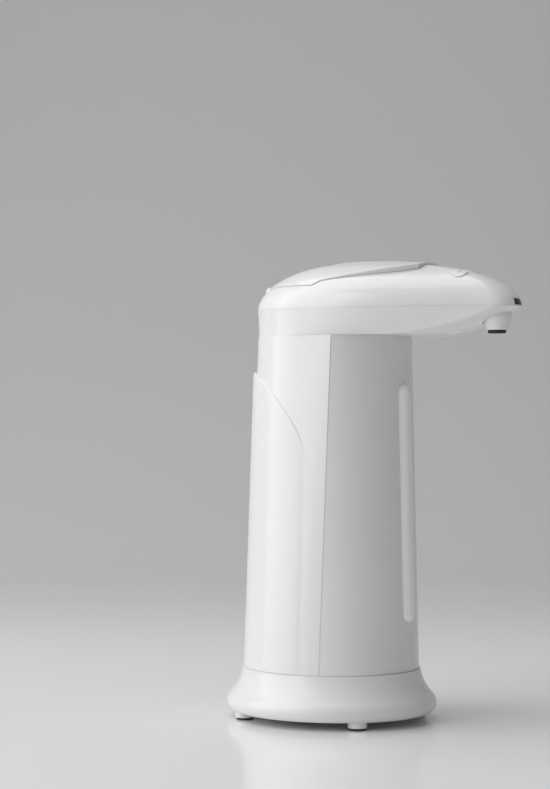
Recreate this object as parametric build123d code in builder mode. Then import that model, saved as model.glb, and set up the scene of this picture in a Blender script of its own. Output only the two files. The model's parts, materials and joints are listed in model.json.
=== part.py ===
from build123d import *
from math import cos, radians, sin, sqrt
import os

os.makedirs("parts", exist_ok=True)

# Overall sizes, in millimetres. The nose points to -Y and the dispenser stands on z = 0.
nose_reach = 88.0
base_depth = 45.5
base_width = 42.0
column_y = (nose_reach - base_depth) / 2
total_height = 192.7

# Heights of the joints between the main pieces
pad_height = 1.0
base_bottom = 3.4
base_seam = 21.6
column_bottom = 21.9
column_top = 161.4
parting = 172.4

# Gaps and walls
seam_gap = 0.25
slide_gap = 0.3
wall = 2.0

# Column: half-width, front and rear reach at its foot and at its top
foot_side, foot_front, foot_rear = 35.5, 37.5, 35.7
top_side, top_front, top_rear = 31.9, 34.3, 30.8
seam_foot_x, seam_foot_y, seam_top_x, seam_top_y = 33.4, -13.5, 30.4, -17.6
crease_direction = (0.97, -0.32)
panel_thickness = 2.0
tank_side_wall = 2.4
tank_front_wall = 2.2
tank_floor = 2.5
hump_rear, hump_side, crest_radius = 2.2, 0.3, 1.2
hump_edge_y, hump_shoulder, hump_top = -12.0, 102.4, 147.9
hump_curve = ((-2.4, 123.9), (8.0, 136.4))

# Level window in the front panel
window_width = 8.4
window_low, window_high = 41.9, 141.4
window_proud = 0.6
sight_slot_width = 4.4

# Base: flared skirt with a rounded lip, plate, feet and cells
skirt_wall = 2.0
skirt_top_width, flare_start = 35.6, (0.12, -1)
lip_start, lip_height, lip_end = 40.73, 10.6, 39.67
plate_width, plate_thickness = 38.6, 2.0
spigot_width, spigot_depth = 30.0, 32.0
foot_x, foot_y = 25.6, 27.3
stub_radius, pad_radius = 4.0, 3.5
cell_count, cell_radius, cell_length, cell_pitch, cell_height = 4, 5.2, 43.6, 10.9, 11.6
nub_radius, nub_length = 1.9, 0.9
tray_x, tray_y, tray_roof, tray_wall, tray_corner = 25.2, 21.8, 18.2, 1.2, 3.0
door_margin, door_thickness, seal_thickness = 1.2, 0.9, 0.5
base_boss_y, boss_radius, screw_radius, screw_head_radius = 30.5, 3.0, 1.2, 2.4
contact_thickness, contact_width, contact_height = 0.5, 18.0, 7.6
grip_count, grip_pitch, grip_length, grip_width = 4, 2.0, 16.0, 0.8

# Head: plan of the parting line
head_rear, head_side, head_widest = 31.2, 33.4, -4.0
nose_radius, flank_turn, flank_fullness = 11.0, 20.0, 0.42
nose_roundness, nose_fullness = 2.0, 0.46
dome_apex_y = -15.0
lid_proud = 0.35
dome_height = total_height - lid_proud - parting
rim_width = 3.0
belly_height, belly_reach, belly_radius = 166.6, 76.0, 15.0
nozzle_y, nozzle_seat_radius = -78.0, 5.9
nozzle_end, nozzle_end_radius, nozzle_shoulder, nozzle_top = 162.8, 4.3, 167.8, 171.4
tip_end, tip_radius, tip_bore = 161.6, 3.7, 1.8
tip_seat_radius, tip_seat_top, tip_mouth, tip_mouth_depth = 3.2, 166.4, 2.8, 0.7
inlet_y, inlet_wall, tube_bore = -68.0, 0.3, 1.2
sensor_y, sensor_radius, sensor_top = -59.0, 3.6, 167.0
eye_x, eye_radius, eye_top = 1.9, 1.4, 171.4
conduit_x, conduit_y, conduit_radius, conduit_bore = 14.5, 19.0, 3.2, 2.0

# Lid: stepped seat seen from the side, filler and rear hinge
lid_seat, step_rear_y, step_front_y, step_top = 181.8, -8.0, -11.0, 183.7
lid_front_y, lid_front_seat, lid_nose_share = -47.5, 189.8, 1.34
deck_thickness = 1.8
filler_y, filler_bore, neck_radius = 7.2, 12.8, 14.0
plug_radius, plug_bore, plug_end = 14.4, 13.2, 183.4
hinge_y, hinge_z, knuckle_radius, pin_radius = 23.6, 181.1, 1.8, 0.9
knuckle_half, hinge_half = 7.0, 12.0
running_gap = 0.05

# Tank cover
cover_bottom, cover_top = 148.4, 150.6
gasket_height, gasket_width = 1.0, 1.2

# Buttons, circuit board and light in the nose
button_x, button_y, button_radius = 6.5, -64.0, 3.5
button_bottom, stem_radius, stem_bottom, button_proud = 181.4, 1.5, 180.0, 0.4
board_top, board_thickness = 176.0, 1.6
board_rear_y, board_front_y, board_rear_x, board_front_x = -46.0, -72.0, 19.0, 8.0
post_x, post_y, post_radius, post_foot = 15.4, -50.0, 2.2, 164.4
switch_width, switch_height, plunger_top = 6.0, 2.5, 179.0
chip_length, chip_width, chip_height = 10.0, 6.0, 1.5
led_radius, led_back_y, led_pitch, led_leg = 1.3, -79.0, 2.0, 0.3
screw_head_height = 1.2
lens_half_width, lens_bottom, lens_top, lens_back_y, lens_depth = 3.2, 172.8, 175.4, -84.0, 6.0

# Pump and drive
pump_x, pump_y, pump_radius, track_radius = -11.0, -23.0, 14.0, 12.1
pump_bottom, pump_floor, pump_top, pump_lid_top = 164.4, 1.5, 174.4, 175.6
roller_radius, roller_circle, roller_count = 2.5, 6.4, 3
hub_radius, shaft_radius = 3.0, 1.5
tube_radius, tube_height, flat_half, flat_height = 2.2, 171.5, 1.3, 2.4
tube_line = 10.75
straight_length, coupling_length, coupling_radius = 12.2, 4.0, 3.1
gear_module, rotor_teeth, pinion_teeth = 0.7, 43, 14
tooth_depth, tooth_height, tooth_foot, tooth_tip = 1.2, 0.85, 0.95, 0.35
gear_bottom, gear_top = 176.0, 178.6
motor_x = pump_x + 20.0
motor_width, motor_depth, motor_can_top, motor_top = 12.0, 10.0, 166.4, 173.9
motor_corner, shaft_depth, disc_thickness = 3.0, 4.0, 1.0
suction_x, suction_end, suction_bend = 9.5, 26.4, 3.2
delivery_x, delivery_turn_y, delivery_lead, delivery_bend = 9.6, -60.0, 3.0, 3.6
lead_offset, lead_radius, lead_bend = 0.8, 0.6, 6.0
lead_side_x, lead_rise, lead_height, lead_end_x, lead_end_y = 22.0, 158.4, 167.9, 17.0, -46.9
pump_posts = ((-19.0, -17.0), (-8.0, -26.0), (-4.0, -15.5))


def level(height):
    """A horizontal sketch plane centred on the column's axis."""
    return Plane((0, column_y, height))


def side_plane(x=0.0):
    """An upright plane seen from +X: across is towards the rear, up is up."""
    return Plane(origin=(x, column_y, 0), x_dir=(0, 1, 0), z_dir=(1, 0, 0))


def front_plane(y):
    """An upright plane seen from the nose: across is +X, up is up."""
    return Plane(origin=(0, column_y + y, 0), x_dir=(1, 0, 0), z_dir=(0, -1, 0))


def save(piece, name):
    """Label a finished piece and write it to its own file."""
    piece.part.label = name
    export_step(piece.part, f"parts/{name}.step")


def outline(height, side, front, rear, crease_x, crease_y):
    """Column outline: elliptical back, gently bowed sides, arched front between two creases."""
    with BuildSketch(level(height)) as sketch:
        with BuildLine():
            EllipticalCenterArc((0, 0), side, rear, start_angle=0, arc_size=180)
            TangentArc((-side, 0), (-crease_x, crease_y), tangent=(0, -1))
            ThreePointArc((-crease_x, crease_y), (0, -front), (crease_x, crease_y))
            TangentArc((side, 0), (crease_x, crease_y), tangent=(0, -1))
        make_face()
    return sketch.sketch


def crease(height):
    """Place of the panel's seam at a height: it leans, so that the panel widens towards its foot."""
    share = (height - column_bottom) / (column_top - column_bottom)
    return Vector(seam_foot_x, seam_foot_y) * (1 - share) + Vector(seam_top_x, seam_top_y) * share


def seam_plane(gap=0.0):
    """The leaning plane through both seams, moved forward by a gap, facing the front."""
    low, high = crease(column_bottom), crease(column_top)
    lean = Vector(0, high.Y - low.Y, column_top - column_bottom)
    across = Vector(1, 0, 0)
    return Plane(origin=(0, column_y + low.Y - gap, column_bottom), x_dir=across, z_dir=across.cross(lean))


def column_size(height):
    """Half-width, front and rear reach of the column at a height."""
    share = (height - column_bottom) / (column_top - column_bottom)
    side = foot_side + share * (top_side - foot_side)
    front = foot_front + share * (top_front - foot_front)
    rear = foot_rear + share * (top_rear - foot_rear)
    return side, front, rear


def column_face(height, inset=0.0):
    """Column outline at a height, moved in by inset."""
    side, front, rear = column_size(height)
    corner = crease(height) - Vector(*crease_direction) * inset
    return outline(height, side - inset, front - inset, rear - inset, corner.X, corner.Y)


def tank_face(height, inset=0.0):
    """Outline of the soap space: thin walls at the sides, a thicker front behind the panel."""
    side, front, rear = column_size(height)
    side_inset = tank_side_wall + inset
    front_inset = panel_thickness + tank_front_wall + inset
    corner = crease(height) + Vector(-front_inset, tank_front_wall / 2)
    return outline(height, side - side_inset, front - front_inset, rear - side_inset, corner.X, corner.Y)


def hump_face(height):
    """Outline of the raised back at a height."""
    side, front, rear = column_size(height)
    corner = crease(height) - Vector(wall, 0)
    return outline(height, side + hump_side, front - wall, rear + hump_rear, corner.X, corner.Y)


# Raised back of the column, under an arched crest
with BuildPart() as hump:
    loft(sections=[hump_face(column_bottom), hump_face(hump_top + wall)])
    with BuildSketch(side_plane(-base_width)):
        with BuildLine():
            rise = Spline((hump_edge_y, hump_shoulder), *hump_curve, (foot_rear, hump_top),
                          tangents=[(0.35, 1), (1, 0.1)])
            Polyline(rise @ 1, (base_depth, hump_top), (base_depth, column_bottom),
                     (hump_edge_y, column_bottom), rise @ 0)
        make_face()
    extrude(amount=2 * base_width, mode=Mode.INTERSECT)
    above = hump.edges().filter_by_position(Axis.Z, hump_shoulder, hump_top + wall)
    crest = above.filter_by(GeomType.BSPLINE)
    fillet(crest, crest_radius)

# Space that the front panel takes, between the two upright seams
with BuildPart() as panel_space:
    loft(sections=[column_face(column_bottom), column_face(column_top)])
    loft(sections=[column_face(column_bottom, panel_thickness), column_face(column_top, panel_thickness)],
         mode=Mode.SUBTRACT)
    split(bisect_by=seam_plane())

# Room behind the panel, above the tank's cover
with BuildPart() as head_room:
    loft(sections=[column_face(cover_top, panel_thickness), column_face(column_top, panel_thickness)])
    split(bisect_by=seam_plane())

# Tank body: rear and side shell of the column, with the soap space inside it and a sight slot in front
with BuildPart() as tank_body:
    loft(sections=[column_face(column_bottom), column_face(column_top)])
    add(hump.part)
    loft(sections=[tank_face(column_bottom + tank_floor), tank_face(column_top)], mode=Mode.SUBTRACT)
    add(panel_space.part, mode=Mode.SUBTRACT)
    add(head_room.part, mode=Mode.SUBTRACT)
    with BuildSketch(level(column_bottom)):
        with Locations((conduit_x, conduit_y)):
            Circle(conduit_radius)
    extrude(amount=cover_top - column_bottom)
    with BuildSketch(level(column_bottom)):
        with Locations((conduit_x, conduit_y)):
            Circle(conduit_bore)
    extrude(amount=cover_top - column_bottom, mode=Mode.SUBTRACT)
    with BuildSketch(front_plane(0)):
        with Locations((0, (window_low + window_high) / 2)):
            SlotOverall(window_high - window_low - sight_slot_width, sight_slot_width, rotation=90)
    extrude(amount=base_depth, mode=Mode.SUBTRACT)
save(tank_body, "tank_body")

# Front panel
with BuildPart() as front_panel:
    add(panel_space.part)
    split(bisect_by=seam_plane(seam_gap))
    with BuildSketch(front_plane(0)):
        with Locations((0, (window_low + window_high) / 2)):
            SlotOverall(window_high - window_low, window_width, rotation=90)
    extrude(amount=base_depth, mode=Mode.SUBTRACT)
save(front_panel, "front_panel")

# Level window: a clear bar in the panel's slot, seated on the tank's front wall
with BuildPart() as level_window:
    loft(sections=[column_face(column_bottom, -window_proud), column_face(column_top, -window_proud)])
    loft(sections=[column_face(column_bottom, panel_thickness), column_face(column_top, panel_thickness)],
         mode=Mode.SUBTRACT)
    with BuildSketch(front_plane(0)):
        with Locations((0, (window_low + window_high) / 2)):
            SlotOverall(window_high - window_low - 2 * seam_gap, window_width - 2 * seam_gap, rotation=90)
    extrude(amount=base_depth, mode=Mode.INTERSECT)
save(level_window, "level_window")

# Base skirt: a flared bell with a rounded lip, turned as a round and drawn out front to back
with BuildPart() as skirt_form:
    with BuildSketch(Plane.XZ):
        with BuildLine():
            flare = TangentArc((skirt_top_width, base_seam), (lip_start, lip_height), tangent=flare_start)
            lip = TangentArc(flare @ 1, (lip_end, base_bottom), tangent=flare % 1)
            Line(lip @ 1, (plate_width, base_bottom))
            Line((plate_width, base_bottom), (plate_width, base_bottom + plate_thickness))
            inner = TangentArc((skirt_top_width - skirt_wall, base_seam - skirt_wall),
                               (plate_width, base_bottom + plate_thickness), tangent=(0, -1))
            Polyline(inner @ 0, (0, base_seam - skirt_wall), (0, base_seam), flare @ 0)
        make_face()
    revolve(axis=Axis.Z)
    scale(by=(1, base_depth / base_width, 1))

with BuildPart() as base_skirt:
    add(skirt_form.part.moved(Location((0, column_y, 0))))
    with BuildSketch(level(base_seam)):
        Ellipse(spigot_width, spigot_depth)
    extrude(amount=column_bottom - base_seam)
    with BuildSketch(level(base_seam - skirt_wall)):
        with Locations((conduit_x, conduit_y)):
            Circle(conduit_bore)
    extrude(amount=2 * skirt_wall, mode=Mode.SUBTRACT)
    with BuildSketch(level(base_bottom + plate_thickness)):
        with Locations((0, -base_boss_y), (0, base_boss_y)):
            Circle(boss_radius)
            Circle(screw_radius, mode=Mode.SUBTRACT)
    extrude(amount=base_seam - skirt_wall - base_bottom - plate_thickness)
save(base_skirt, "base_skirt")


def teardrop(height, side, rear, widest, tip, tip_radius):
    """Head outline: round back, bowed flanks and a small round nose."""
    turn = radians(flank_turn)
    tip_centre = tip + tip_radius
    flank_end = Vector(tip_radius * cos(turn), tip_centre - tip_radius * sin(turn))
    reach = flank_fullness * (widest - flank_end.Y)
    handle = Vector(sin(turn), cos(turn)) * reach
    with BuildSketch(level(height)) as sketch:
        with BuildLine():
            EllipticalCenterArc((0, widest), side, rear - widest, start_angle=0, arc_size=180)
            for hand in (-1, 1):
                Bezier((hand * side, widest), (hand * side, widest - reach),
                       (hand * (flank_end.X + handle.X), flank_end.Y + handle.Y),
                       (hand * flank_end.X, flank_end.Y))
            ThreePointArc((-flank_end.X, flank_end.Y), (0, tip), flank_end)
        make_face()
    return sketch.sketch


def dome_face(share, inset=0.0, nose_share=None):
    """Outline of the upper head, from the parting line (share 0) to the crown (share 1)."""
    back = sqrt(1 - share ** 2)
    fore = (1 - share ** nose_roundness) ** nose_fullness if nose_share is None else nose_share * back
    side = (head_side - inset) * back
    rear = dome_apex_y + (head_rear - inset - dome_apex_y) * back
    widest = dome_apex_y + (head_widest - dome_apex_y) * back
    tip = dome_apex_y - (nose_reach - inset + dome_apex_y) * fore
    height = parting + share * (dome_height - inset)
    return teardrop(height, side, rear, widest, tip, (nose_radius - inset) * fore)


dome_shares = (0, 0.12, 0.33, 0.55, 0.75, 0.89, 0.965, 0.995)


def under_sections(inset=0.0, lift=0.0):
    """Outlines of the lower head, from the column's rim up to the parting line."""
    rim = column_face(column_top, inset).moved(Location((0, 0, lift)))
    side, rear = (top_side + head_side) / 2 - inset, (top_rear + head_rear) / 2 - inset
    belly = teardrop(belly_height + lift, side, rear, head_widest, -belly_reach + inset, belly_radius - inset)
    top = teardrop(parting + lift, head_side - inset, head_rear - inset, head_widest, -nose_reach + inset,
                   nose_radius - inset)
    return [rim, belly, top]


# Outer form of the lower head
with BuildPart() as under_form:
    loft(sections=under_sections())

# Lower head shell: rests on the column's rim and runs out under the nose
with BuildPart() as head_lower_shell:
    add(under_form.part)
    loft(sections=under_sections(wall, wall), mode=Mode.SUBTRACT)
    loft(sections=[column_face(column_top, rim_width), column_face(column_top + 2 * wall, rim_width)],
         mode=Mode.SUBTRACT)
    split(bisect_by=Plane.XY.offset(column_top))
    with BuildSketch(level(column_top)):
        with Locations((0, nozzle_y)):
            Circle(nozzle_seat_radius)
        with Locations((0, sensor_y)):
            Circle(sensor_radius)
    extrude(amount=parting - column_top, mode=Mode.SUBTRACT)
    with BuildSketch(level(post_foot)):
        with Locations((-post_x, post_y), (post_x, post_y)):
            Circle(post_radius)
    extrude(amount=board_top - board_thickness - post_foot)
    with BuildSketch(level(post_foot + wall)):
        with Locations((-post_x, post_y), (post_x, post_y)):
            Circle(screw_radius)
    extrude(amount=board_top - board_thickness - post_foot - wall, mode=Mode.SUBTRACT)
save(head_lower_shell, "head_lower_shell")

# Outer and inner forms of the upper head
with BuildPart() as dome:
    loft(sections=[dome_face(share) for share in dome_shares])
with BuildPart() as dome_inside:
    loft(sections=[dome_face(share, wall) for share in dome_shares])


def lid_outline(lift):
    """Side view of the space above the stepped seat, where the lid lies, moved up by lift."""
    with BuildSketch(side_plane()) as sketch:
        with BuildLine():
            Polyline((base_depth, lid_seat + lift), (step_rear_y, lid_seat + lift),
                     (step_front_y, step_top + lift), (lid_front_y, lid_front_seat + lift),
                     (lid_front_y, total_height + wall), (base_depth, total_height + wall), close=True)
        make_face()
    return sketch.sketch


def hinge_bar(radius, start, end):
    """A round bar on the lid's hinge line, from one place along X to another."""
    with BuildPart() as bar:
        with BuildSketch(side_plane(start)):
            with Locations((hinge_y, hinge_z)):
                Circle(radius)
        extrude(amount=end - start)
    return bar.part


def post(x, y, bottom, top, radius):
    """An upright round post, placed from the column's axis."""
    with BuildPart() as bar:
        with BuildSketch(level(bottom)):
            with Locations((x, y)):
                Circle(radius)
        extrude(amount=top - bottom)
    return bar.part


def rear_block(start, end, bottom, top):
    """A block from the hinge line to behind the head, from one place along X to another."""
    with BuildPart() as block:
        with BuildSketch(side_plane(start)):
            with Locations((hinge_y, bottom)):
                Rectangle(base_depth, top - bottom, align=(Align.MIN, Align.MIN))
        extrude(amount=end - start)
    return block.part


# Deck under the lid, following the lid's stepped seat
with BuildPart() as deck:
    add(dome.part)
    extrude(lid_outline(-deck_thickness), amount=base_width, both=True, mode=Mode.INTERSECT)

lens_space = Location((0, column_y + lens_back_y - lens_depth / 2, (lens_bottom + lens_top) / 2))
lens_size = (2 * lens_half_width, lens_depth, lens_top - lens_bottom)

# Upper head shell: thin dome with the filler deck, hinge knuckles, button holes and the light's window
with BuildPart() as head_upper_shell:
    add(dome.part)
    add(dome_inside.part, mode=Mode.SUBTRACT)
    add(deck.part)
    extrude(lid_outline(0), amount=base_width, both=True, mode=Mode.SUBTRACT)
    add(post(0, filler_y, parting, total_height, filler_bore), mode=Mode.SUBTRACT)
    add(hinge_bar(knuckle_radius, knuckle_half + slide_gap, hinge_half))
    add(hinge_bar(knuckle_radius, -hinge_half, -knuckle_half - slide_gap))
    add(hinge_bar(knuckle_radius + 2 * slide_gap, -knuckle_half - slide_gap, knuckle_half + slide_gap),
        mode=Mode.SUBTRACT)
    add(rear_block(-knuckle_half - slide_gap, knuckle_half + slide_gap, hinge_z - knuckle_radius, lid_seat),
        mode=Mode.SUBTRACT)
    add(hinge_bar(pin_radius, -hinge_half, hinge_half), mode=Mode.SUBTRACT)
    for hand in (-1, 1):
        add(post(hand * button_x, button_y, parting, total_height, button_radius + slide_gap), mode=Mode.SUBTRACT)
    with Locations(lens_space):
        Box(*lens_size, mode=Mode.SUBTRACT)
save(head_upper_shell, "head_upper_shell")

# Filler lid: flatter than the dome in front, so that its blunt end makes a finger lip
with BuildPart() as lid_form:
    loft(sections=[dome_face(share, -lid_proud, lid_nose_share) for share in dome_shares])
with BuildPart() as lid_inside:
    loft(sections=[dome_face(share, wall, lid_nose_share) for share in dome_shares])
with BuildPart() as lid_plug:
    add(post(0, filler_y, plug_end, total_height, plug_radius))
    add(post(0, filler_y, plug_end, total_height, plug_bore), mode=Mode.SUBTRACT)
    add(lid_form.part, mode=Mode.INTERSECT)
with BuildPart() as lid:
    add(lid_form.part)
    add(lid_inside.part, mode=Mode.SUBTRACT)
    add(lid_plug.part)
    add(post(0, filler_y, lid_seat, plug_end, plug_radius), mode=Mode.SUBTRACT)
    extrude(lid_outline(slide_gap), amount=base_width, both=True, mode=Mode.INTERSECT)
    add(rear_block(knuckle_half, hinge_half + slide_gap, lid_seat, total_height), mode=Mode.SUBTRACT)
    add(rear_block(-hinge_half - slide_gap, -knuckle_half, lid_seat, total_height), mode=Mode.SUBTRACT)
    add(hinge_bar(knuckle_radius, -knuckle_half, knuckle_half))
    add(hinge_bar(knuckle_radius + slide_gap, knuckle_half, hinge_half + slide_gap), mode=Mode.SUBTRACT)
    add(hinge_bar(knuckle_radius + slide_gap, -hinge_half - slide_gap, -knuckle_half), mode=Mode.SUBTRACT)
    add(hinge_bar(pin_radius + running_gap, -knuckle_half, knuckle_half), mode=Mode.SUBTRACT)
save(lid, "lid")

with BuildPart() as lid_seal:
    add(post(0, filler_y, lid_seat + slide_gap, plug_end, plug_radius))
    add(post(0, filler_y, lid_seat + slide_gap, plug_end, plug_bore), mode=Mode.SUBTRACT)
save(lid_seal, "lid_seal")

with BuildPart() as lid_hinge_pin:
    add(hinge_bar(pin_radius, -hinge_half, hinge_half))
save(lid_hinge_pin, "lid_hinge_pin")

# Nozzle under the nose, with a side inlet for the delivery tube, and its soft black tip
nozzle_plane = Plane(origin=(0, column_y + nozzle_y, 0), x_dir=(1, 0, 0), z_dir=(0, -1, 0))
nozzle_axis = Axis((0, column_y + nozzle_y, 0), (0, 0, 1))
with BuildPart() as nozzle:
    with BuildSketch(nozzle_plane):
        with BuildLine():
            Polyline((0, nozzle_top), (nozzle_seat_radius, nozzle_top), (nozzle_seat_radius, nozzle_shoulder),
                     (nozzle_end_radius, nozzle_end), (0, nozzle_end), close=True)
        make_face()
    revolve(axis=nozzle_axis)
    with BuildSketch(front_plane(inlet_y)):
        with Locations((0, tube_height)):
            Circle(tube_radius + inlet_wall)
    extrude(amount=inlet_y - nozzle_y)
    add(post(0, nozzle_y, nozzle_end, nozzle_top - inlet_wall, tip_seat_radius), mode=Mode.SUBTRACT)
    with BuildSketch(front_plane(inlet_y)):
        with Locations((0, tube_height)):
            Circle(tube_bore)
    extrude(amount=inlet_y - nozzle_y, mode=Mode.SUBTRACT)
save(nozzle, "nozzle")

with BuildPart() as nozzle_tip:
    add(post(0, nozzle_y, tip_end, nozzle_end, tip_radius))
    add(post(0, nozzle_y, nozzle_end, tip_seat_top, tip_seat_radius))
    add(post(0, nozzle_y, tip_end, tip_seat_top, tip_bore), mode=Mode.SUBTRACT)
    with BuildSketch(level(tip_end)):
        with Locations((0, nozzle_y)):
            Circle(tip_mouth)
    extrude(amount=tip_mouth_depth, mode=Mode.SUBTRACT)
save(nozzle_tip, "nozzle_tip")

with BuildPart() as sensor_window:
    add(post(0, sensor_y, column_top, sensor_top, sensor_radius))
    add(under_form.part, mode=Mode.INTERSECT)
save(sensor_window, "sensor_window")

with BuildPart() as indicator_lens:
    with Locations(lens_space):
        Box(*lens_size)
    add(dome.part, mode=Mode.INTERSECT)
save(indicator_lens, "indicator_lens")

with BuildPart() as indicator_led:
    with BuildSketch(front_plane(led_back_y)):
        with Locations((0, (lens_bottom + lens_top) / 2)):
            Circle(led_radius)
    extrude(amount=led_back_y - lens_back_y)
    with Locations((0, column_y + (led_back_y + board_front_y) / 2, board_top - board_thickness / 2)):
        Box(led_pitch, board_front_y - led_back_y, board_thickness / 2)
save(indicator_led, "indicator_led")

# Buttons: caps cut to the dome, standing a little proud of it, with stems above the switches
for hand, name in ((1, "plus_button"), (-1, "minus_button")):
    with BuildPart() as button:
        add(post(hand * button_x, button_y, button_bottom, total_height, button_radius))
        add(dome.part.moved(Location((0, 0, button_proud))), mode=Mode.INTERSECT)
        add(post(hand * button_x, button_y, stem_bottom, button_bottom, stem_radius))
    save(button, name)

with BuildPart() as tact_switches:
    for hand in (-1, 1):
        with Locations((hand * button_x, column_y + button_y, board_top + switch_height / 2)):
            Box(switch_width, switch_width, switch_height)
        add(post(hand * button_x, button_y, board_top + switch_height, plunger_top, stem_radius))
save(tact_switches, "tact_switches")

# Circuit board in the nose, on two posts of the lower shell
with BuildPart() as circuit_board:
    with BuildSketch(level(board_top - board_thickness)):
        with BuildLine():
            Polyline((-board_rear_x, board_rear_y), (board_rear_x, board_rear_y), (board_front_x, board_front_y),
                     (-board_front_x, board_front_y), close=True)
        make_face()
        with Locations((-post_x, post_y), (post_x, post_y)):
            Circle(screw_radius, mode=Mode.SUBTRACT)
    extrude(amount=board_thickness)
    with Locations((0, column_y + (board_rear_y + button_y) / 2, board_top + chip_height / 2)):
        Box(chip_length, chip_width, chip_height)
save(circuit_board, "circuit_board")

with BuildPart() as infrared_pair:
    for hand in (-1, 1):
        add(post(hand * eye_x, sensor_y, sensor_top, eye_top, eye_radius))
        add(post(hand * eye_x, sensor_y, eye_top, board_top - board_thickness, led_leg))
save(infrared_pair, "infrared_pair")

with BuildPart() as board_screws:
    for hand in (-1, 1):
        add(post(hand * post_x, post_y, post_foot + wall, board_top, screw_radius))
        add(post(hand * post_x, post_y, board_top, board_top + screw_head_height, screw_head_radius))
save(board_screws, "board_screws")


def rounded_block(bottom, top, half_x, half_y, corner):
    """An upright block with round corners, centred on the column's axis."""
    with BuildPart() as block:
        with BuildSketch(level(bottom)):
            RectangleRounded(2 * half_x, 2 * half_y, corner)
        extrude(amount=top - bottom)
    return block.part


# Base plate: foot stubs, cell tray and the recess for the battery door
feet = [(hand * foot_x, y) for y in (-foot_y, foot_y) for hand in (-1, 1)]
door_top = base_bottom + door_thickness
seal_top = door_top + seal_thickness
with BuildPart() as base_plate:
    with BuildSketch(level(base_bottom)):
        Ellipse(plate_width, plate_width * base_depth / base_width)
        with Locations((0, -base_boss_y), (0, base_boss_y)):
            Circle(screw_radius, mode=Mode.SUBTRACT)
    extrude(amount=plate_thickness)
    add(rounded_block(base_bottom, tray_roof, tray_x + tray_wall, tray_y + tray_wall, tray_corner))
    add(rounded_block(base_bottom, tray_roof - tray_wall, tray_x, tray_y, tray_corner - tray_wall),
        mode=Mode.SUBTRACT)
    add(rounded_block(base_bottom, seal_top, tray_x + door_margin, tray_y + door_margin, tray_corner),
        mode=Mode.SUBTRACT)
    for x, y in feet:
        add(post(x, y, pad_height, base_bottom, stub_radius))
save(base_plate, "base_plate")

for (x, y), name in zip(feet, ("front_left", "front_right", "rear_left", "rear_right")):
    with BuildPart() as foot_pad:
        add(post(x, y, 0, pad_height, pad_radius))
        chamfer(foot_pad.edges().group_by(Axis.Z)[0], pad_height / 4)
    save(foot_pad, f"foot_pad_{name}")

with BuildPart() as battery_door:
    add(rounded_block(base_bottom, door_top, tray_x + door_margin - seam_gap, tray_y + door_margin - seam_gap,
                      tray_corner))
    with BuildSketch(level(base_bottom)):
        with Locations(*[(0, tray_y - (row + 2) * grip_pitch) for row in range(grip_count)]):
            SlotOverall(grip_length, grip_width)
    extrude(amount=door_thickness / 2, mode=Mode.SUBTRACT)
save(battery_door, "battery_door")

with BuildPart() as battery_door_seal:
    add(rounded_block(door_top, seal_top, tray_x + door_margin - seam_gap, tray_y + door_margin - seam_gap,
                      tray_corner))
    add(rounded_block(door_top, seal_top, tray_x, tray_y, tray_corner - tray_wall), mode=Mode.SUBTRACT)
save(battery_door_seal, "battery_door_seal")


def lying_bar(x_start, x_end, y, radius):
    """A round bar lying along X at the height of the cells."""
    with BuildPart() as bar:
        with BuildSketch(side_plane(x_start)):
            with Locations((y, cell_height)):
                Circle(radius)
        extrude(amount=x_end - x_start)
    return bar.part


# Cells lie side by side, turned about in turn; each pair of ends shares one sprung contact plate
cell_rows = [(row - (cell_count - 1) / 2) * cell_pitch for row in range(cell_count)]
with BuildPart() as aaa_cells:
    for row, y in enumerate(cell_rows):
        hand = 1 if row % 2 == 0 else -1
        add(lying_bar(-cell_length / 2, cell_length / 2, y, cell_radius))
        nub = sorted((hand * cell_length / 2, hand * (cell_length / 2 + nub_length)))
        add(lying_bar(*nub, y, nub_radius))
save(aaa_cells, "aaa_cells")

with BuildPart() as battery_contacts:
    for side in (-1, 1):
        for pair in (0, 2):
            middle = (cell_rows[pair] + cell_rows[pair + 1]) / 2
            with Locations((side * (tray_x - contact_thickness / 2), column_y + middle, cell_height)):
                Box(contact_thickness, contact_width, contact_height)
        for row, y in enumerate(cell_rows):
            faces_nub = (row % 2 == 0) == (side == 1)
            cell_end = cell_length / 2 + (nub_length if faces_nub else 0)
            add(lying_bar(*sorted((side * cell_end, side * (tray_x - contact_thickness))), y, nub_radius))
save(battery_contacts, "battery_contacts")

with BuildPart() as base_screws:
    for y in (-base_boss_y, base_boss_y):
        add(post(0, y, base_bottom, base_seam - 2 * skirt_wall, screw_radius))
        add(post(0, y, base_bottom - screw_head_height, base_bottom, screw_head_radius))
save(base_screws, "base_screws")

# Tank cover: closes the soap space, carries the filler neck and the posts of the pump
suction_y = pump_y + tube_line
with BuildPart() as tank_cover:
    loft(sections=[tank_face(cover_bottom + gasket_height), tank_face(cover_top)])
    loft(sections=[tank_face(cover_bottom, gasket_width), tank_face(cover_bottom + gasket_height, gasket_width)])
    add(post(0, filler_y, cover_top, lid_seat - deck_thickness, neck_radius))
    for x, y in pump_posts:
        add(post(x, y, cover_top, pump_bottom, post_radius))
    add(post(0, filler_y, cover_bottom, lid_seat, filler_bore), mode=Mode.SUBTRACT)
    add(post(suction_x, suction_y, cover_bottom, cover_top, tube_radius), mode=Mode.SUBTRACT)
    add(post(conduit_x, conduit_y, cover_bottom, cover_top, conduit_radius), mode=Mode.SUBTRACT)
save(tank_cover, "tank_cover")

with BuildPart() as tank_gasket:
    loft(sections=[tank_face(cover_bottom), tank_face(cover_bottom + gasket_height)])
    loft(sections=[tank_face(cover_bottom, gasket_width), tank_face(cover_bottom + gasket_height, gasket_width)],
         mode=Mode.SUBTRACT)
save(tank_gasket, "tank_gasket")

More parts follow.
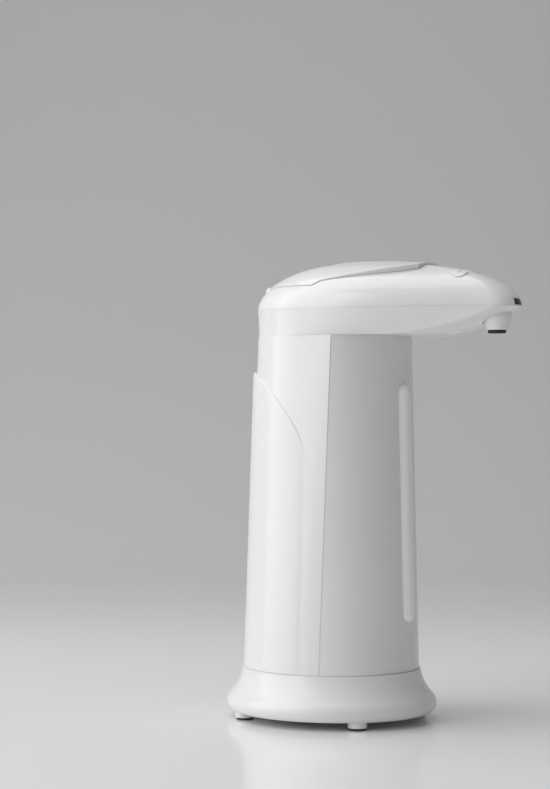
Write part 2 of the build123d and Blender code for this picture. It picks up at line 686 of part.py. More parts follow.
# Peristaltic pump: cup, cover, rotor with pins, loose rollers
tube_rows = (pump_y - tube_line, pump_y + tube_line)
with BuildPart() as pump_housing:
    add(post(pump_x, pump_y, pump_bottom, pump_top, pump_radius))
    add(post(pump_x, pump_y, pump_bottom + pump_floor, pump_top, track_radius), mode=Mode.SUBTRACT)
    for y in tube_rows:
        with Locations((pump_x + pump_radius / 2, column_y + y, tube_height)):
            Box(pump_radius, 2 * flat_half, 2 * flat_height, mode=Mode.SUBTRACT)
save(pump_housing, "pump_housing")

with BuildPart() as pump_cover:
    add(post(pump_x, pump_y, pump_top, pump_lid_top, pump_radius))
    add(post(pump_x, pump_y, pump_top, pump_lid_top, shaft_radius + running_gap), mode=Mode.SUBTRACT)
save(pump_cover, "pump_cover")

roller_places = [(pump_x + roller_circle * cos(radians(turn)), pump_y + roller_circle * sin(radians(turn)))
                 for turn in range(0, 360, 360 // roller_count)]
disc_radius = roller_circle + pin_radius + slide_gap
rotor_bottom, rotor_top = pump_bottom + pump_floor + slide_gap, pump_top - slide_gap
with BuildPart() as pump_rotor:
    add(post(pump_x, pump_y, rotor_bottom, rotor_bottom + disc_thickness, disc_radius))
    add(post(pump_x, pump_y, rotor_top - disc_thickness, rotor_top, disc_radius))
    add(post(pump_x, pump_y, rotor_bottom, rotor_top, hub_radius))
    add(post(pump_x, pump_y, rotor_top, gear_bottom, shaft_radius))
    for x, y in roller_places:
        add(post(x, y, rotor_bottom, rotor_top, pin_radius))
save(pump_rotor, "pump_rotor")

with BuildPart() as pump_rollers:
    for x, y in roller_places:
        add(post(x, y, rotor_bottom + disc_thickness + slide_gap, rotor_top - disc_thickness - slide_gap,
                 roller_radius))
        add(post(x, y, rotor_bottom, rotor_top, pin_radius + running_gap), mode=Mode.SUBTRACT)
save(pump_rollers, "pump_rollers")


def gear(teeth, x, y, turn, bottom, top):
    """A spur gear with straight-flanked teeth, its first tooth turned by an angle."""
    pitch_radius = gear_module * teeth / 2
    root_radius = pitch_radius - tooth_depth * gear_module
    tip = pitch_radius + tooth_height * gear_module
    half_root, half_tip = tooth_foot * gear_module, tooth_tip * gear_module
    with BuildPart() as wheel:
        with BuildSketch(Plane(origin=(x, column_y + y, bottom))):
            Circle(root_radius)
            with PolarLocations(0, teeth, start_angle=turn):
                Polygon((root_radius - gear_module, -half_root), (root_radius, -half_root), (tip, -half_tip),
                        (tip, half_tip), (root_radius, half_root), (root_radius - gear_module, half_root),
                        align=None)
        extrude(amount=top - bottom)
    return wheel.part


with BuildPart() as rotor_gear:
    add(gear(rotor_teeth, pump_x, pump_y, 0, gear_bottom, gear_top))
save(rotor_gear, "rotor_gear")

with BuildPart() as motor_pinion:
    add(gear(pinion_teeth, motor_x, pump_y, 180 / pinion_teeth, gear_bottom, gear_top))
    add(post(motor_x, pump_y, motor_top - shaft_depth, gear_bottom, pin_radius))
save(motor_pinion, "motor_pinion")

with BuildPart() as gear_motor:
    with BuildSketch(level(cover_top)):
        with Locations((motor_x, pump_y)):
            RectangleRounded(motor_width, motor_depth, motor_corner)
    extrude(amount=motor_can_top - cover_top)
    with Locations((motor_x, column_y + pump_y, (motor_can_top + motor_top) / 2)):
        Box(motor_width, motor_depth, motor_top - motor_can_top)
    add(post(motor_x, pump_y, motor_top - shaft_depth - slide_gap, motor_top, pin_radius + running_gap),
        mode=Mode.SUBTRACT)
save(gear_motor, "gear_motor")

# Squeezed stretch of hose: lies flat along the track, outside the rollers' path, with two straight ends
with BuildPart() as pump_tube:
    with BuildSketch(level(tube_height - flat_height)):
        with BuildLine():
            turn = CenterArc((pump_x, pump_y), tube_line, start_angle=90, arc_size=180)
            Line(turn @ 0, turn @ 0 + Vector(straight_length, 0))
            Line(turn @ 1, turn @ 1 + Vector(straight_length, 0))
        trace(line_width=2 * (flat_half - running_gap))
    extrude(amount=2 * flat_height - running_gap)
save(pump_tube, "pump_tube")


def hose(route, radii, radius, bore=0.0):
    """A hose along straight runs joined by arcs; the route is given from the column's axis."""
    points = [Vector(x, column_y + y, z) for x, y, z in route]
    with BuildPart() as pipe:
        with BuildLine():
            path = FilletPolyline(*points, radius=radii)
        with BuildSketch(Plane(origin=points[0], z_dir=points[1] - points[0])):
            Circle(radius)
            if bore:
                Circle(bore, mode=Mode.SUBTRACT)
        sweep(path=path)
    return pipe.part


# Barbed couplings between the squeezed hose and the two lines
hose_end = pump_x + straight_length
with BuildPart() as hose_couplings:
    for y in tube_rows:
        with BuildSketch(side_plane(hose_end)):
            with Locations((y, tube_height)):
                Circle(coupling_radius)
                Circle(tube_bore, mode=Mode.SUBTRACT)
        extrude(amount=coupling_length)
save(hose_couplings, "hose_couplings")

line_start = hose_end + coupling_length
with BuildPart() as suction_hose:
    add(hose([(line_start, suction_y, tube_height), (suction_x, suction_y, tube_height),
              (suction_x, suction_y, suction_end)], [suction_bend], tube_radius, tube_bore))
save(suction_hose, "suction_hose")

with BuildPart() as delivery_hose:
    add(hose([(line_start, tube_rows[0], tube_height), (delivery_x, tube_rows[0], tube_height),
              (delivery_x, delivery_turn_y, tube_height), (0, inlet_y + delivery_lead, tube_height),
              (0, inlet_y, tube_height)],
             [delivery_bend, delivery_bend, delivery_lead], tube_radius, tube_bore))
save(delivery_hose, "delivery_hose")

# Battery leads: up the dry conduit and forward along the head's side to the board
for offset_x, name in ((-lead_offset, "battery_lead_red"), (lead_offset, "battery_lead_black")):
    lead_x = conduit_x + offset_x
    rise_x = lead_side_x + offset_x
    with BuildPart() as battery_lead:
        add(hose([(lead_x, conduit_y, tray_roof), (lead_x, conduit_y, lead_rise),
                  (rise_x, 0, lead_rise + lead_offset), (rise_x, pump_y, lead_height),
                  (lead_end_x + offset_x, lead_end_y, lead_height + lead_offset),
                  (lead_end_x + offset_x, lead_end_y, board_top - board_thickness)],
                 [lead_bend, lead_bend, lead_bend, lead_bend / 2], lead_radius))
    save(battery_lead, name)
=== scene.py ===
import bmesh
import bpy
import json
import math
import numpy
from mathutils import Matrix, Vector


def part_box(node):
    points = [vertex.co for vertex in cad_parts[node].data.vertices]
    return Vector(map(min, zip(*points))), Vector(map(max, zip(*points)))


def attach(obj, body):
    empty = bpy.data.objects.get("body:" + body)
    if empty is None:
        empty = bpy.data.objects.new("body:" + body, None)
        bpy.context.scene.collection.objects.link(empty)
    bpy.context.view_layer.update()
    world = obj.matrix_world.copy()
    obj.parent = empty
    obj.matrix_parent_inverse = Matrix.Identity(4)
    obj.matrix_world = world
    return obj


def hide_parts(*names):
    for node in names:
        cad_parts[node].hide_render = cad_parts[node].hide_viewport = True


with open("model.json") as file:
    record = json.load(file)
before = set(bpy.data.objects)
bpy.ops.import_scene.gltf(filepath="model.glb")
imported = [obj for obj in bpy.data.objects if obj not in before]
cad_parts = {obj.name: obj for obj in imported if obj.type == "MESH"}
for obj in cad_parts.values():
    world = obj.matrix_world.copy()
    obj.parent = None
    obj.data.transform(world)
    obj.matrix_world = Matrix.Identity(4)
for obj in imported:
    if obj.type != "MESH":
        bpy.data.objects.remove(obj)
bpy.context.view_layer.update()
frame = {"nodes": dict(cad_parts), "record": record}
nodes = frame["nodes"]

# One millimetre in metres
MM = 0.001

# The column's axis stands this far back from the middle of the box, in millimetres
COLUMN_Y = 21.25

# A line that looks for a surface starts this far outside it, in metres
AWAY = 0.1

# A line that comes from above starts at this height, in metres
SKY = 1.0

scene = bpy.context.scene
scene.view_settings.view_transform = "Standard"


# Materials: moulded plastic, rubber, metal and so on, each with a fine procedural finish

IOR = 1.46
COAT_ROUGHNESS = 0.08
LEAST_ROUGHNESS = 0.02
SUBSURFACE_RADIUS = (1.0, 1.0, 1.0)
SUBSURFACE_SCALE = 0.0015
NOISE_LOW = 0.3
NOISE_HIGH = 0.7
TONE_DETAIL = 3
GLOSS_DETAIL = 4
GLOSS_SCALE = 180.0
GRAIN_DETAIL = 2
GRAIN_DEPTH = 0.0002
EDGE_SAMPLES = 6

# Sockets of a Mix node that mixes colours
MIX_SHARE = 0
MIX_FIRST = 6
MIX_SECOND = 7
MIX_RESULT = 2


def blank_material(name):
    """A new material, with its node tree and its shader."""
    made = bpy.data.materials.new(name)
    made.use_nodes = True
    return made, made.node_tree, made.node_tree.nodes["Principled BSDF"]


def mix_colours(tree, first, second, share, target):
    """Feed one socket with a mix of two colours, in the share that another socket gives."""
    mix = tree.nodes.new("ShaderNodeMix")
    mix.data_type = "RGBA"
    mix.inputs[MIX_FIRST].default_value = (*first, 1)
    mix.inputs[MIX_SECOND].default_value = (*second, 1)
    tree.links.new(share, mix.inputs[MIX_SHARE])
    tree.links.new(mix.outputs[MIX_RESULT], target)


def material(name, colour, roughness, metallic=0.0, coat=0.0, transmission=0.0, subsurface=0.0,
             tone=0.03, tone_scale=60.0, gloss=0.05, grain=0.02, grain_scale=1500.0,
             stretch=(1.0, 1.0, 1.0), edge=0.0):
    """A surface whose colour, gloss and fine relief vary slightly, in the part's own coordinates.

    edge is the radius in millimetres that the shading gives to sharp edges."""
    made, tree, shader = blank_material(name)
    shader.inputs["Metallic"].default_value = metallic
    shader.inputs["IOR"].default_value = IOR
    shader.inputs["Coat Weight"].default_value = coat
    shader.inputs["Coat Roughness"].default_value = COAT_ROUGHNESS
    shader.inputs["Transmission Weight"].default_value = transmission
    if subsurface:
        shader.inputs["Subsurface Weight"].default_value = subsurface
        shader.inputs["Subsurface Radius"].default_value = SUBSURFACE_RADIUS
        shader.inputs["Subsurface Scale"].default_value = SUBSURFACE_SCALE
    place = tree.nodes.new("ShaderNodeTexCoord")
    spread = tree.nodes.new("ShaderNodeMapping")
    spread.inputs["Scale"].default_value = stretch
    tree.links.new(place.outputs["Object"], spread.inputs["Vector"])

    def noise(scale, detail):
        node = tree.nodes.new("ShaderNodeTexNoise")
        node.inputs["Scale"].default_value = scale
        node.inputs["Detail"].default_value = detail
        tree.links.new(spread.outputs["Vector"], node.inputs["Vector"])
        return node.outputs["Fac"]

    def span(source, low, high):
        node = tree.nodes.new("ShaderNodeMapRange")
        node.inputs["From Min"].default_value = NOISE_LOW
        node.inputs["From Max"].default_value = NOISE_HIGH
        node.inputs["To Min"].default_value = low
        node.inputs["To Max"].default_value = high
        tree.links.new(source, node.inputs["Value"])
        return node.outputs["Result"]

    darker = [channel * (1 - tone) for channel in colour]
    lighter = [min(1.0, channel * (1 + tone)) for channel in colour]
    blotches = span(noise(tone_scale, TONE_DETAIL), 0, 1)
    mix_colours(tree, darker, lighter, blotches, shader.inputs["Base Color"])
    shiniest = max(LEAST_ROUGHNESS, roughness - gloss)
    dullest = min(1.0, roughness + gloss)
    sheen = span(noise(GLOSS_SCALE, GLOSS_DETAIL), shiniest, dullest)
    tree.links.new(sheen, shader.inputs["Roughness"])
    bump = tree.nodes.new("ShaderNodeBump")
    bump.inputs["Strength"].default_value = grain
    bump.inputs["Distance"].default_value = GRAIN_DEPTH
    tree.links.new(noise(grain_scale, GRAIN_DETAIL), bump.inputs["Height"])
    if edge:
        round_edge = tree.nodes.new("ShaderNodeBevel")
        round_edge.samples = EDGE_SAMPLES
        round_edge.inputs["Radius"].default_value = edge * MM
        tree.links.new(round_edge.outputs["Normal"], bump.inputs["Normal"])
    tree.links.new(bump.outputs["Normal"], shader.inputs["Normal"])
    return made


looks = {
    "white_shell": material("gloss_white", (0.80, 0.80, 0.795), 0.2, subsurface=0.1, tone=0.006, gloss=0.03,
                            grain=0.015, grain_scale=900, edge=0.2),
    "white_moulding": material("satin_white", (0.78, 0.785, 0.79), 0.34, tone=0.012, gloss=0.06, grain=0.05,
                               grain_scale=2200, edge=0.25),
    "level_window": material("milky_clear", (0.955, 0.96, 0.965), 0.2, subsurface=0.2, tone=0.01,
                             gloss=0.03, edge=0.3),
    "smoked_lens": material("smoked_lens", (0.02, 0.02, 0.022), 0.08, coat=0.5, tone=0.1, gloss=0.03,
                            edge=0.2),
    "black_rubber": material("black_rubber", (0.025, 0.025, 0.026), 0.62, tone=0.12, gloss=0.1, grain=0.16,
                             grain_scale=3000, edge=0.2),
    "grey_seal": material("grey_seal", (0.42, 0.43, 0.44), 0.55, tone=0.05, gloss=0.08, grain=0.1,
                          grain_scale=2600, edge=0.1),
    "steel": material("steel", (0.55, 0.55, 0.56), 0.28, metallic=1.0, tone=0.05, gloss=0.08, grain=0.06,
                      stretch=(1, 1, 8), edge=0.1),
    "spring_brass": material("nickelled_spring", (0.62, 0.6, 0.55), 0.3, metallic=1.0, tone=0.05,
                             gloss=0.08),
    "cell_jacket": material("cell_jacket", (0.08, 0.16, 0.12), 0.3, coat=0.3, tone=0.1),
    "pump_plastic": material("pump_plastic", (0.16, 0.17, 0.18), 0.42, tone=0.06, gloss=0.08, grain=0.06),
    "gear_plastic": material("acetal", (0.72, 0.71, 0.67), 0.38, tone=0.02, gloss=0.06, grain=0.04),
    "clear_hose": material("silicone_hose", (0.75, 0.77, 0.77), 0.3, transmission=0.45, tone=0.02),
    "board_green": material("board_green", (0.02, 0.11, 0.05), 0.36, coat=0.3, tone=0.12, tone_scale=240,
                            gloss=0.06),
    "black_parts": material("black_parts", (0.03, 0.03, 0.032), 0.4, tone=0.1, gloss=0.08),
    "indicator_led": material("indicator_led", (0.5, 0.06, 0.05), 0.15, transmission=0.3, tone=0.04),
    "red_wire": material("red_wire", (0.45, 0.03, 0.03), 0.42, tone=0.05, gloss=0.06),
    "black_wire": material("black_wire", (0.02, 0.02, 0.02), 0.42, tone=0.08, gloss=0.06),
}

for subpart in frame["record"]["subparts"]:
    slots = nodes[subpart["node"]].data.materials
    slots.clear()
    slots.append(looks[subpart["material_slot"]])


# Added pieces: each is built with bmesh, then rides on a body

def add(name, data):
    """A new object in the scene."""
    made = bpy.data.objects.new(name, data)
    scene.collection.objects.link(made)
    return made


def piece(name, shape, body, look, smooth=50.0):
    """An object from a finished bmesh, smooth where its faces meet at less than an angle in degrees."""
    mesh = bpy.data.meshes.new(name)
    shape.to_mesh(mesh)
    shape.free()
    for face in mesh.polygons:
        face.use_smooth = True
    mesh.set_sharp_from_angle(angle=math.radians(smooth))
    mesh.materials.append(looks[look])
    made = add(name, mesh)
    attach(made, body)
    return made


def join(shape, first, second, closed=True):
    """Faces between two rows of points of equal length."""
    count = len(first)
    for side in range(count if closed else count - 1):
        after = (side + 1) % count
        shape.faces.new((first[side], first[after], second[after], second[side]))


def bar(name, stations, body, look, closed):
    """A four-sided bar through stations of four corners, closed into a ring or capped at its two ends."""
    shape = bmesh.new()
    rows = list(zip(*[[shape.verts.new(corner) for corner in station] for station in stations]))
    for row, after in zip(rows, rows[1:] + rows[:1]):
        join(shape, row, after, closed)
    if not closed:
        for tip in (0, -1):
            shape.faces.new([row[tip] for row in rows])
    bmesh.ops.recalc_face_normals(shape, faces=shape.faces)
    piece(name, shape, body, look)


def stack(name, shape, loops, body, look):
    """A piece through loops of points, one after another, capped at the first and the last."""
    for first, second in zip(loops, loops[1:]):
        join(shape, first, second)
    for cap in (loops[0], loops[-1]):
        shape.faces.new(cap)
    bmesh.ops.recalc_face_normals(shape, faces=shape.faces)
    return piece(name, shape, body, look)


def spread_turns(sides):
    """Angles in radians, evenly spaced round a full turn."""
    return [2 * math.pi * side / sides for side in range(sides)]


def circle(sides):
    """Level directions, evenly spaced round a full turn."""
    return [Vector((math.cos(turn), math.sin(turn), 0)) for turn in spread_turns(sides)]


def corners_of(node):
    """The lowest and highest corners of a node's box."""
    return (Vector(corner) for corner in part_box(node))


def meet(node, start, direction):
    """Where a straight line first meets a node's surface."""
    return nodes[node].ray_cast(Vector(start), Vector(direction))[1]


def height_of(node, place):
    """The height at which an upright line from above meets a node."""
    return meet(node, (place.x, place.y, SKY), (0, 0, -1)).z


def from_side(node, hand, y, z):
    """Where a level line from the right (1) or the left (-1) first meets a node.

    y is measured from the column's axis and z from the floor, in millimetres."""
    return meet(node, (hand * AWAY, (COLUMN_Y + y) * MM, z * MM), (-hand, 0, 0))


# Raised signs on the two buttons, laid on their curved tops

def sign(name, button, strokes, body, look, length=3.2, width=0.7, cells=4, rise=0.15, sunk=0.05,
         soft=0.06):
    """Strokes of small squares dropped on a button and given a thickness with soft edges, in millimetres.

    A stroke runs across the object where it is True, and along it where it is False."""
    low, high = corners_of(button)
    centre = (low + high) / 2
    step = width / cells
    count = round(length / step)
    middle = (count - 1) / 2
    filled = [(i, j) for i in range(count) for j in range(count)
              if any(abs((j if across else i) - middle) * step <= width / 2 for across in strokes)]
    shape = bmesh.new()
    corners = {}

    def point(i, j):
        if (i, j) not in corners:
            place = centre + Vector((i * step - length / 2, j * step - length / 2, 0)) * MM
            corners[i, j] = shape.verts.new((place.x, place.y, height_of(button, place) - sunk * MM))
        return corners[i, j]

    for i, j in filled:
        shape.faces.new((point(i, j), point(i + 1, j), point(i + 1, j + 1), point(i, j + 1)))
    made = piece(name, shape, body, look)
    thick = made.modifiers.new("thick", "SOLIDIFY")
    thick.thickness = (rise + sunk) * MM
    thick.offset = 1
    bevel = made.modifiers.new("soft", "BEVEL")
    bevel.width = soft * MM
    bevel.segments = 2


sign("plus_sign", "plus_button", (True, False), "plus_button", "white_moulding")
sign("minus_sign", "minus_button", (True,), "minus_button", "white_moulding")


# Level window: a milky bar with a rounded crown, standing in the panel's slot

def crowned_bar(name, node, body, look, rise=2.0, fullness=3, fill=0.12, thickness=2.6, sides=96, rings=10,
                inside=0.995):
    """A bar in place of an upright round-ended node, wider by fill, its front swelling out, in millimetres.

    inside is the share of the node's radius at which its front is still met."""
    low, high = corners_of(node)
    radius = (high.x - low.x) / 2
    middle_x = (low.x + high.x) / 2
    shape = bmesh.new()

    def ring(share, back):
        made = []
        for spoke in circle(sides):
            ray = Vector((spoke.x, 0, spoke.y))
            end_z = high.z - radius if ray.z >= 0 else low.z + radius
            middle = Vector((middle_x, low.y - AWAY, end_z))
            front = meet(node, middle + ray * radius * share * inside, (0, 1, 0)).y
            corner = middle + ray * (radius + fill * MM) * share
            made.append(shape.verts.new((corner.x, front + back * MM, corner.z)))
        return made

    shares = [1 - step / rings for step in range(rings)]
    loops = [ring(1.0, thickness)]
    loops += [ring(share, -rise * (1 - share ** fullness)) for share in shares]
    made = stack(name, shape, loops, body, look)
    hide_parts(node)


crowned_bar("level_window_bar", "level_window", "housing", "level_window")


# Skirts: thin rings that close the gaps round the buttons, just under the shell's surface

def skirt(name, button, body, look, clear=0.05, gap=0.26, sunk=0.2, depth=1.0, inset=0.1, sides=64):
    """A ring in the gap round a button, following the button's curved top, in millimetres.

    The top's height is read a little inside the button's edge, by inset."""
    low, high = corners_of(button)
    centre = (low + high) / 2
    radius = (high.x - low.x) / 2
    stations = []
    for ray in circle(sides):
        top = height_of(button, centre + ray * (radius - inset * MM)) - sunk * MM
        bottom = top - depth * MM
        inner, outer = (centre + ray * (radius + out * MM) for out in (clear, gap))
        corners = ((inner, top), (outer, top), (outer, bottom), (inner, bottom))
        stations.append([(place.x, place.y, level) for place, level in corners])
    bar(name, stations, body, look, closed=True)


skirt("plus_skirt", "plus_button", "housing", "white_moulding")
skirt("minus_skirt", "minus_button", "housing", "white_moulding")


# Base screws: pan heads with a cross recess, and a threaded shank

def screw_profile(bottom, top, head_radius, head=1.2, rim=0.35, dome_steps=8, shank=1.2, pitch=0.9,
                  root=0.78, lead=0.6, tip=0.6, chamfer=0.2):
    """Radius and height from a screw's tip down to the middle of its head, in metres.

    The other sizes are in millimetres: rim is the head's straight edge, lead the first thread's distance
    from the end, and root and tip are shares of the shank's radius."""
    seat = bottom + head * MM
    profile = [(0.0, top), (shank * tip * MM, top - chamfer * MM)]
    threads = int((top - seat) / (pitch * MM)) - 1
    for thread in range(threads):
        level = top - (lead + thread * pitch) * MM
        profile += [(shank * MM, level), (shank * root * MM, level - pitch / 2 * MM)]
    profile += [(shank * MM, seat), (head_radius, seat), (head_radius, seat - rim * MM)]
    for step in range(1, dome_steps + 1):
        turn = math.pi / 2 * step / dome_steps
        profile.append((head_radius * math.cos(turn), seat - (rim + (head - rim) * math.sin(turn)) * MM))
    return profile


def cut_crosses(made, centres, bottom, width=0.62, length=2.9, depth=0.75, draft=0.75):
    """Cut a cross into each head, narrower at its floor by draft, in millimetres."""
    shape = bmesh.new()
    for y in centres:
        for across, along in ((width, length), (length, width)):
            for corner in bmesh.ops.create_cube(shape, size=2)["verts"]:
                share = (draft if corner.co.z > 0 else 1.0) / 2
                corner.co = (corner.co.x * across * share * MM, y + corner.co.y * along * share * MM,
                             bottom + corner.co.z * depth * MM)
    mesh = bpy.data.meshes.new("cross_tool")
    shape.to_mesh(mesh)
    shape.free()
    tool = add("cross_tool", mesh)
    cut = made.modifiers.new("cut", "BOOLEAN")
    cut.object = tool
    cut.solver = "EXACT"
    cut.use_self = True
    bpy.context.view_layer.update()
    evaluated = made.evaluated_get(bpy.context.evaluated_depsgraph_get())
    finished = bpy.data.meshes.new_from_object(evaluated)
    made.modifiers.remove(cut)
    made.data = finished
    bpy.data.objects.remove(tool)


def pan_screws(name, node, body, look, sides=40, smooth=35.0):
    """Screws in place of a node's two plain ones, heads down."""
    low, high = corners_of(node)
    head_radius = (high.x - low.x) / 2
    centres = (low.y + head_radius, high.y - head_radius)
    (_, top), *turned, (_, bottom) = screw_profile(low.z, high.z, head_radius)
    shape = bmesh.new()
    for y in centres:
        rows = [[shape.verts.new((radius * math.cos(turn), y + radius * math.sin(turn), level))
                 for turn in spread_turns(sides)] for radius, level in turned]
        for first, second in zip(rows, rows[1:]):
            join(shape, first, second)
        for row, level in ((rows[0], top), (rows[-1], bottom)):
            end = shape.verts.new((0, y, level))
            for side in range(sides):
                shape.faces.new((row[side], row[(side + 1) % sides], end))
    bmesh.ops.recalc_face_normals(shape, faces=shape.faces)
    made = piece(name, shape, body, look, smooth)
    cut_crosses(made, centres, low.z)
    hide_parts(node)


pan_screws("base_screws_crossed", "base_screws", "housing", "steel")


# Tongues that close the two upright seams of the front panel, just below the surface

def tongue(name, hand, body, look, foot=(-13.5, 22.2), top=(-17.6, 161.1), gap=0.25, clear=0.04, sunk=0.03,
           depth=1.5, steps=24):
    """A thin upright strip in one seam, in millimetres from the column.

    foot and top are the seam's ends, as places along the depth and heights."""
    stations = []
    for step in range(steps + 1):
        y, z = (first + (last - first) * step / steps for first, last in zip(foot, top))
        body_x = abs(from_side("tank_body", hand, y + clear, z).x) / MM
        panel_x = abs(from_side("front_panel", hand, y - gap - clear, z).x) / MM
        inner_x = panel_x - depth
        rear, front = y - clear, y + clear - gap
        corners = ((body_x - sunk, rear), (panel_x - sunk, front), (inner_x, front), (inner_x, rear))
        stations.append([Vector((hand * x, COLUMN_Y + along, z)) * MM for x, along in corners])
    bar(name, stations, body, look, closed=False)


tongue("seam_tongue_right", 1, "housing", "white_shell")
tongue("seam_tongue_left", -1, "housing", "white_shell")


# Rim of the base that shows in the seam under the column

def seam_ring(name, below, above, body, look, bottom=21.63, top=21.87, past=0.15, sunk=0.04, depth=0.8,
              sides=160):
    """A thin ring in the seam between the nodes below and above it, in millimetres.

    The nodes' surfaces are read a little past the seam."""
    axis = Vector((0, COLUMN_Y * MM, 0))

    def reach(group, ray, level):
        start = axis + ray * AWAY + Vector((0, 0, level * MM))
        return max(ray.dot(meet(node, start, -ray) - axis) for node in group)

    stations = []
    for ray in circle(sides):
        least = min(reach(below, ray, bottom - past), reach(above, ray, top + past))
        outer, inner = (axis + ray * (least - deep * MM) for deep in (sunk, sunk + depth))
        corners = ((outer, bottom), (outer, top), (inner, top), (inner, bottom))
        stations.append([(place.x, place.y, level * MM) for place, level in corners])
    bar(name, stations, body, look, closed=True)


seam_ring("base_rim", ("base_skirt",), ("tank_body", "front_panel"), "housing", "white_shell")


# Rims under the lid's edge, closing the gap above the shell's stepped seat

def above_shell(place, clear):
    """The end of the shortest line from a place to the upper shell, stopped a little before it."""
    fall = nodes["head_upper_shell"].closest_point_on_mesh(place)[1] - place
    return place + fall * (1 - clear * MM / fall.length)


def lid_rim(name, hand, body, look, seat=((20.0, 181.8), (-8.0, 181.8), (-11.0, 183.7), (-47.5, 189.8)),
            gap=0.3, lap=0.02, inset=0.05, width=0.5, clear=0.06, step=0.5, least=0.15):
    """A strip under one half of the lid's edge, down to just above the shell, in millimetres.

    seat is the line of the shell's seat, as places along the depth, from the column, and heights. At the
    front corner the strip turns and runs on across the front until the space left for it is the least."""
    across = Vector((-hand * MM, 0, 0))
    back = Vector((0, MM, 0))
    stations = []

    def station(outer, inward):
        inner = outer + inward * width
        stations.append((outer, above_shell(outer, clear), above_shell(inner, clear), inner))

    for (y, z), (y_end, z_end) in zip(seat, seat[1:]):
        count = math.ceil(math.hypot(y_end - y, z_end - z) / step)
        for share in (i / count for i in range(count)):
            level = z + (z_end - z) * share + gap + lap
            edge = from_side("lid", hand, y + (y_end - y) * share, level)
            station(edge + across * inset, across)
    front_y, front_z = seat[-1]
    corner = Vector((edge.x, (COLUMN_Y + front_y) * MM, (front_z + gap + lap) * MM))
    corner += (across + back) * inset
    station(corner, across + back)
    place = corner + across * (width + step)
    while (above_shell(place, clear) - place).length > least * MM:
        station(place, back)
        place = place + across * step
    bar(name, stations, body, look, closed=False)


lid_rim("lid_rim_right", 1, "lid", "white_shell")
lid_rim("lid_rim_left", -1, "lid", "white_shell")


# Crown: a thin patch that carries the lid's curve smoothly over the shallow dish on its top

def crown(name, node, body, look, middle_y=-17.5, reach=14.0, probe=0.1, neighbours=3, start=1.2, dip=1.5,
          end=1.8, bands=5, unit=10.0, thickness=0.3, tuck=0.98, proud=0.008, sunk=0.04, sides=72,
          rings=18):
    """A patch over a dish, fitted to the surface round it, in millimetres from the column.

    The dish's border is the crest that lines out from its middle cross, evened out over some neighbours.
    The patch follows a polynomial fitted between start and end times the border, goes over to the surface
    there, and sinks under it from dip to end. Its underside is drawn in by tuck."""
    axis = Vector((0, (COLUMN_Y + middle_y) * MM, 0))
    rays = circle(sides)

    def surface(offset):
        return height_of(node, axis + offset * MM) / MM

    def terms(offset):
        x, y = offset.x / unit, offset.y / unit
        return [1, y, y ** 2, y ** 3, y ** 4, x ** 2, x ** 2 * y, x ** 2 * y ** 2, x ** 4]

    lengths = [step * probe for step in range(round(reach / probe))]
    crests = [max(lengths, key=lambda length: surface(ray * length)) for ray in rays]
    window = range(-neighbours, neighbours + 1)
    border = [sum(crests[(side + near) % sides] for near in window) / len(window) for side in range(sides)]
    spokes = [ray * length for ray, length in zip(rays, border)]
    shares = [start + (end - start) * band / bands for band in range(bands + 1)]
    samples = [spoke * share for spoke in spokes for share in shares]
    rows = numpy.array([terms(sample) for sample in samples])
    heights = numpy.array([surface(sample) for sample in samples])
    weights = numpy.linalg.lstsq(rows, heights, rcond=None)[0]
    shape = bmesh.new()

    def ring(share, fall=0.0):
        blend = max(0.0, (share - start) / (end - start))
        blend = blend * blend * (3 - 2 * blend)
        lift = proud - sunk * max(0.0, (share - dip) / (end - dip)) ** 2
        made = []
        for spoke in spokes:
            offset = spoke * share
            fitted = float(numpy.dot(weights, terms(offset)))
            level = fitted + (surface(offset) - fitted) * blend + lift - fall
            place = axis + offset * MM
            made.append(shape.verts.new((place.x, place.y, level * MM)))
        return made

    loops = [ring(end * tuck, thickness)]
    loops += [ring(end * (1 - step / rings)) for step in range(rings)]
    stack(name, shape, loops, body, look)


crown("lid_crown", "lid", "lid", "white_shell")


# Stage: a pale floor that turns grey as it sweeps up into a backdrop, soft lights, camera

def stage_material(name, near, far, turn_start, turn_end, roughness):
    """Smooth paper whose colour goes from near to far along the sheet's own depth."""
    made, tree, shader = blank_material(name)
    shader.inputs["Roughness"].default_value = roughness
    place = tree.nodes.new("ShaderNodeTexCoord")
    parts = tree.nodes.new("ShaderNodeSeparateXYZ")
    share = tree.nodes.new("ShaderNodeMapRange")
    share.interpolation_type = "SMOOTHSTEP"
    share.inputs["From Min"].default_value = turn_start
    share.inputs["From Max"].default_value = turn_end
    tree.links.new(place.outputs["Object"], parts.inputs["Vector"])
    tree.links.new(parts.outputs["Y"], share.inputs["Value"])
    mix_colours(tree, near, far, share.outputs["Result"], shader.inputs["Base Color"])
    return made


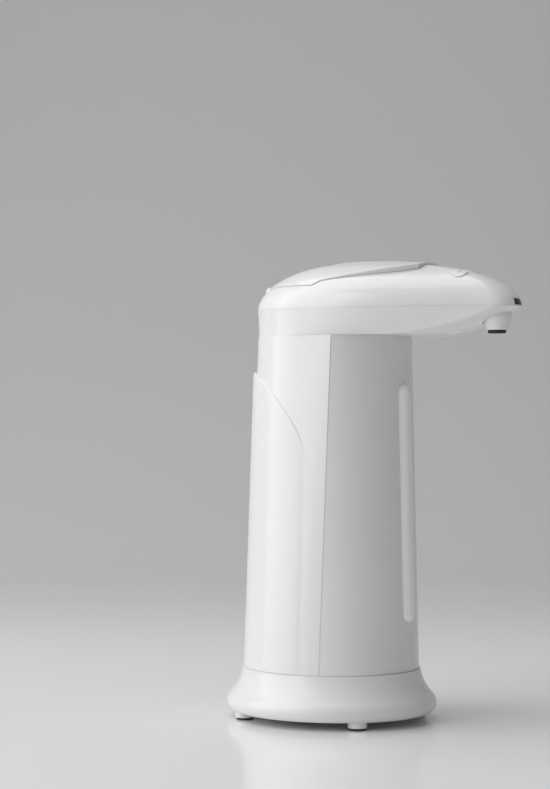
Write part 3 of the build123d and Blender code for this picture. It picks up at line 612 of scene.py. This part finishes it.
def sweep(name, paper, half_width, front, back, height, radius, steps=16):
    """A floor and backdrop in one smooth sheet."""
    profile = [(front, 0.0), (back - radius, 0.0)]
    for step in range(1, steps + 1):
        turn = math.pi / 2 * step / steps
        profile.append((back - radius + radius * math.sin(turn), radius - radius * math.cos(turn)))
    profile.append((back, height))
    corners = [(side * half_width, y, z) for y, z in profile for side in (-1, 1)]
    faces = [(2 * i, 2 * i + 1, 2 * i + 3, 2 * i + 2) for i in range(len(profile) - 1)]
    mesh = bpy.data.meshes.new(name)
    mesh.from_pydata(corners, [], faces)
    for face in mesh.polygons:
        face.use_smooth = True
    mesh.materials.append(paper)
    made = add(name, mesh)
    return made


def aim(made, place, target):
    """Put a camera or a lamp at a place and turn it towards a target."""
    made.location = place
    made.rotation_mode = "QUATERNION"
    made.rotation_quaternion = (target - place).to_track_quat("-Z", "Y")


camera_place = Vector((-0.7240, -0.4046, 0.1267))
camera_aim = Vector((-0.0192, 0.0376, 0.1371))
camera_data = bpy.data.cameras.new("camera")
camera_data.lens = 89.77
camera = add("camera", camera_data)
aim(camera, camera_place, camera_aim)
scene.camera = camera

toward = Vector((camera_place.x, camera_place.y, 0)).normalized()
right = Vector((-toward.y, toward.x, 0))

# The sheet is turned to stand behind the object as the camera sees it
paper = stage_material("paper", near=(0.88, 0.88, 0.88), far=(0.70, 0.70, 0.70), turn_start=0.15,
                       turn_end=0.6, roughness=0.16)
backdrop = sweep("backdrop", paper, half_width=14.0, front=-14.0, back=1.6, height=3.0, radius=0.9)
backdrop.rotation_euler = (0, 0, math.atan2(toward.x, -toward.y))

LAMP_AIM = Vector((0, 0, 0.1))


def lamp(name, across, up, near, size, power):
    """A square soft light placed from the camera's point of view and aimed at the object."""
    data = bpy.data.lights.new(name, "AREA")
    data.size = size
    data.energy = power
    aim(add(name, data), right * across + toward * near + Vector((0, 0, up)), LAMP_AIM)


lamp("key", across=-1.0, up=0.6, near=0.36, size=1.4, power=12.2)
lamp("top", across=-0.3, up=1.3, near=-0.1, size=0.9, power=5.4)
lamp("fill", across=1.2, up=0.5, near=0.7, size=1.0, power=0.3)

world = bpy.data.worlds.new("studio")
scene.world = world
world.use_nodes = True
background = world.node_tree.nodes["Background"]
background.inputs["Color"].default_value = (1, 1, 1, 1)
background.inputs["Strength"].default_value = 0.3
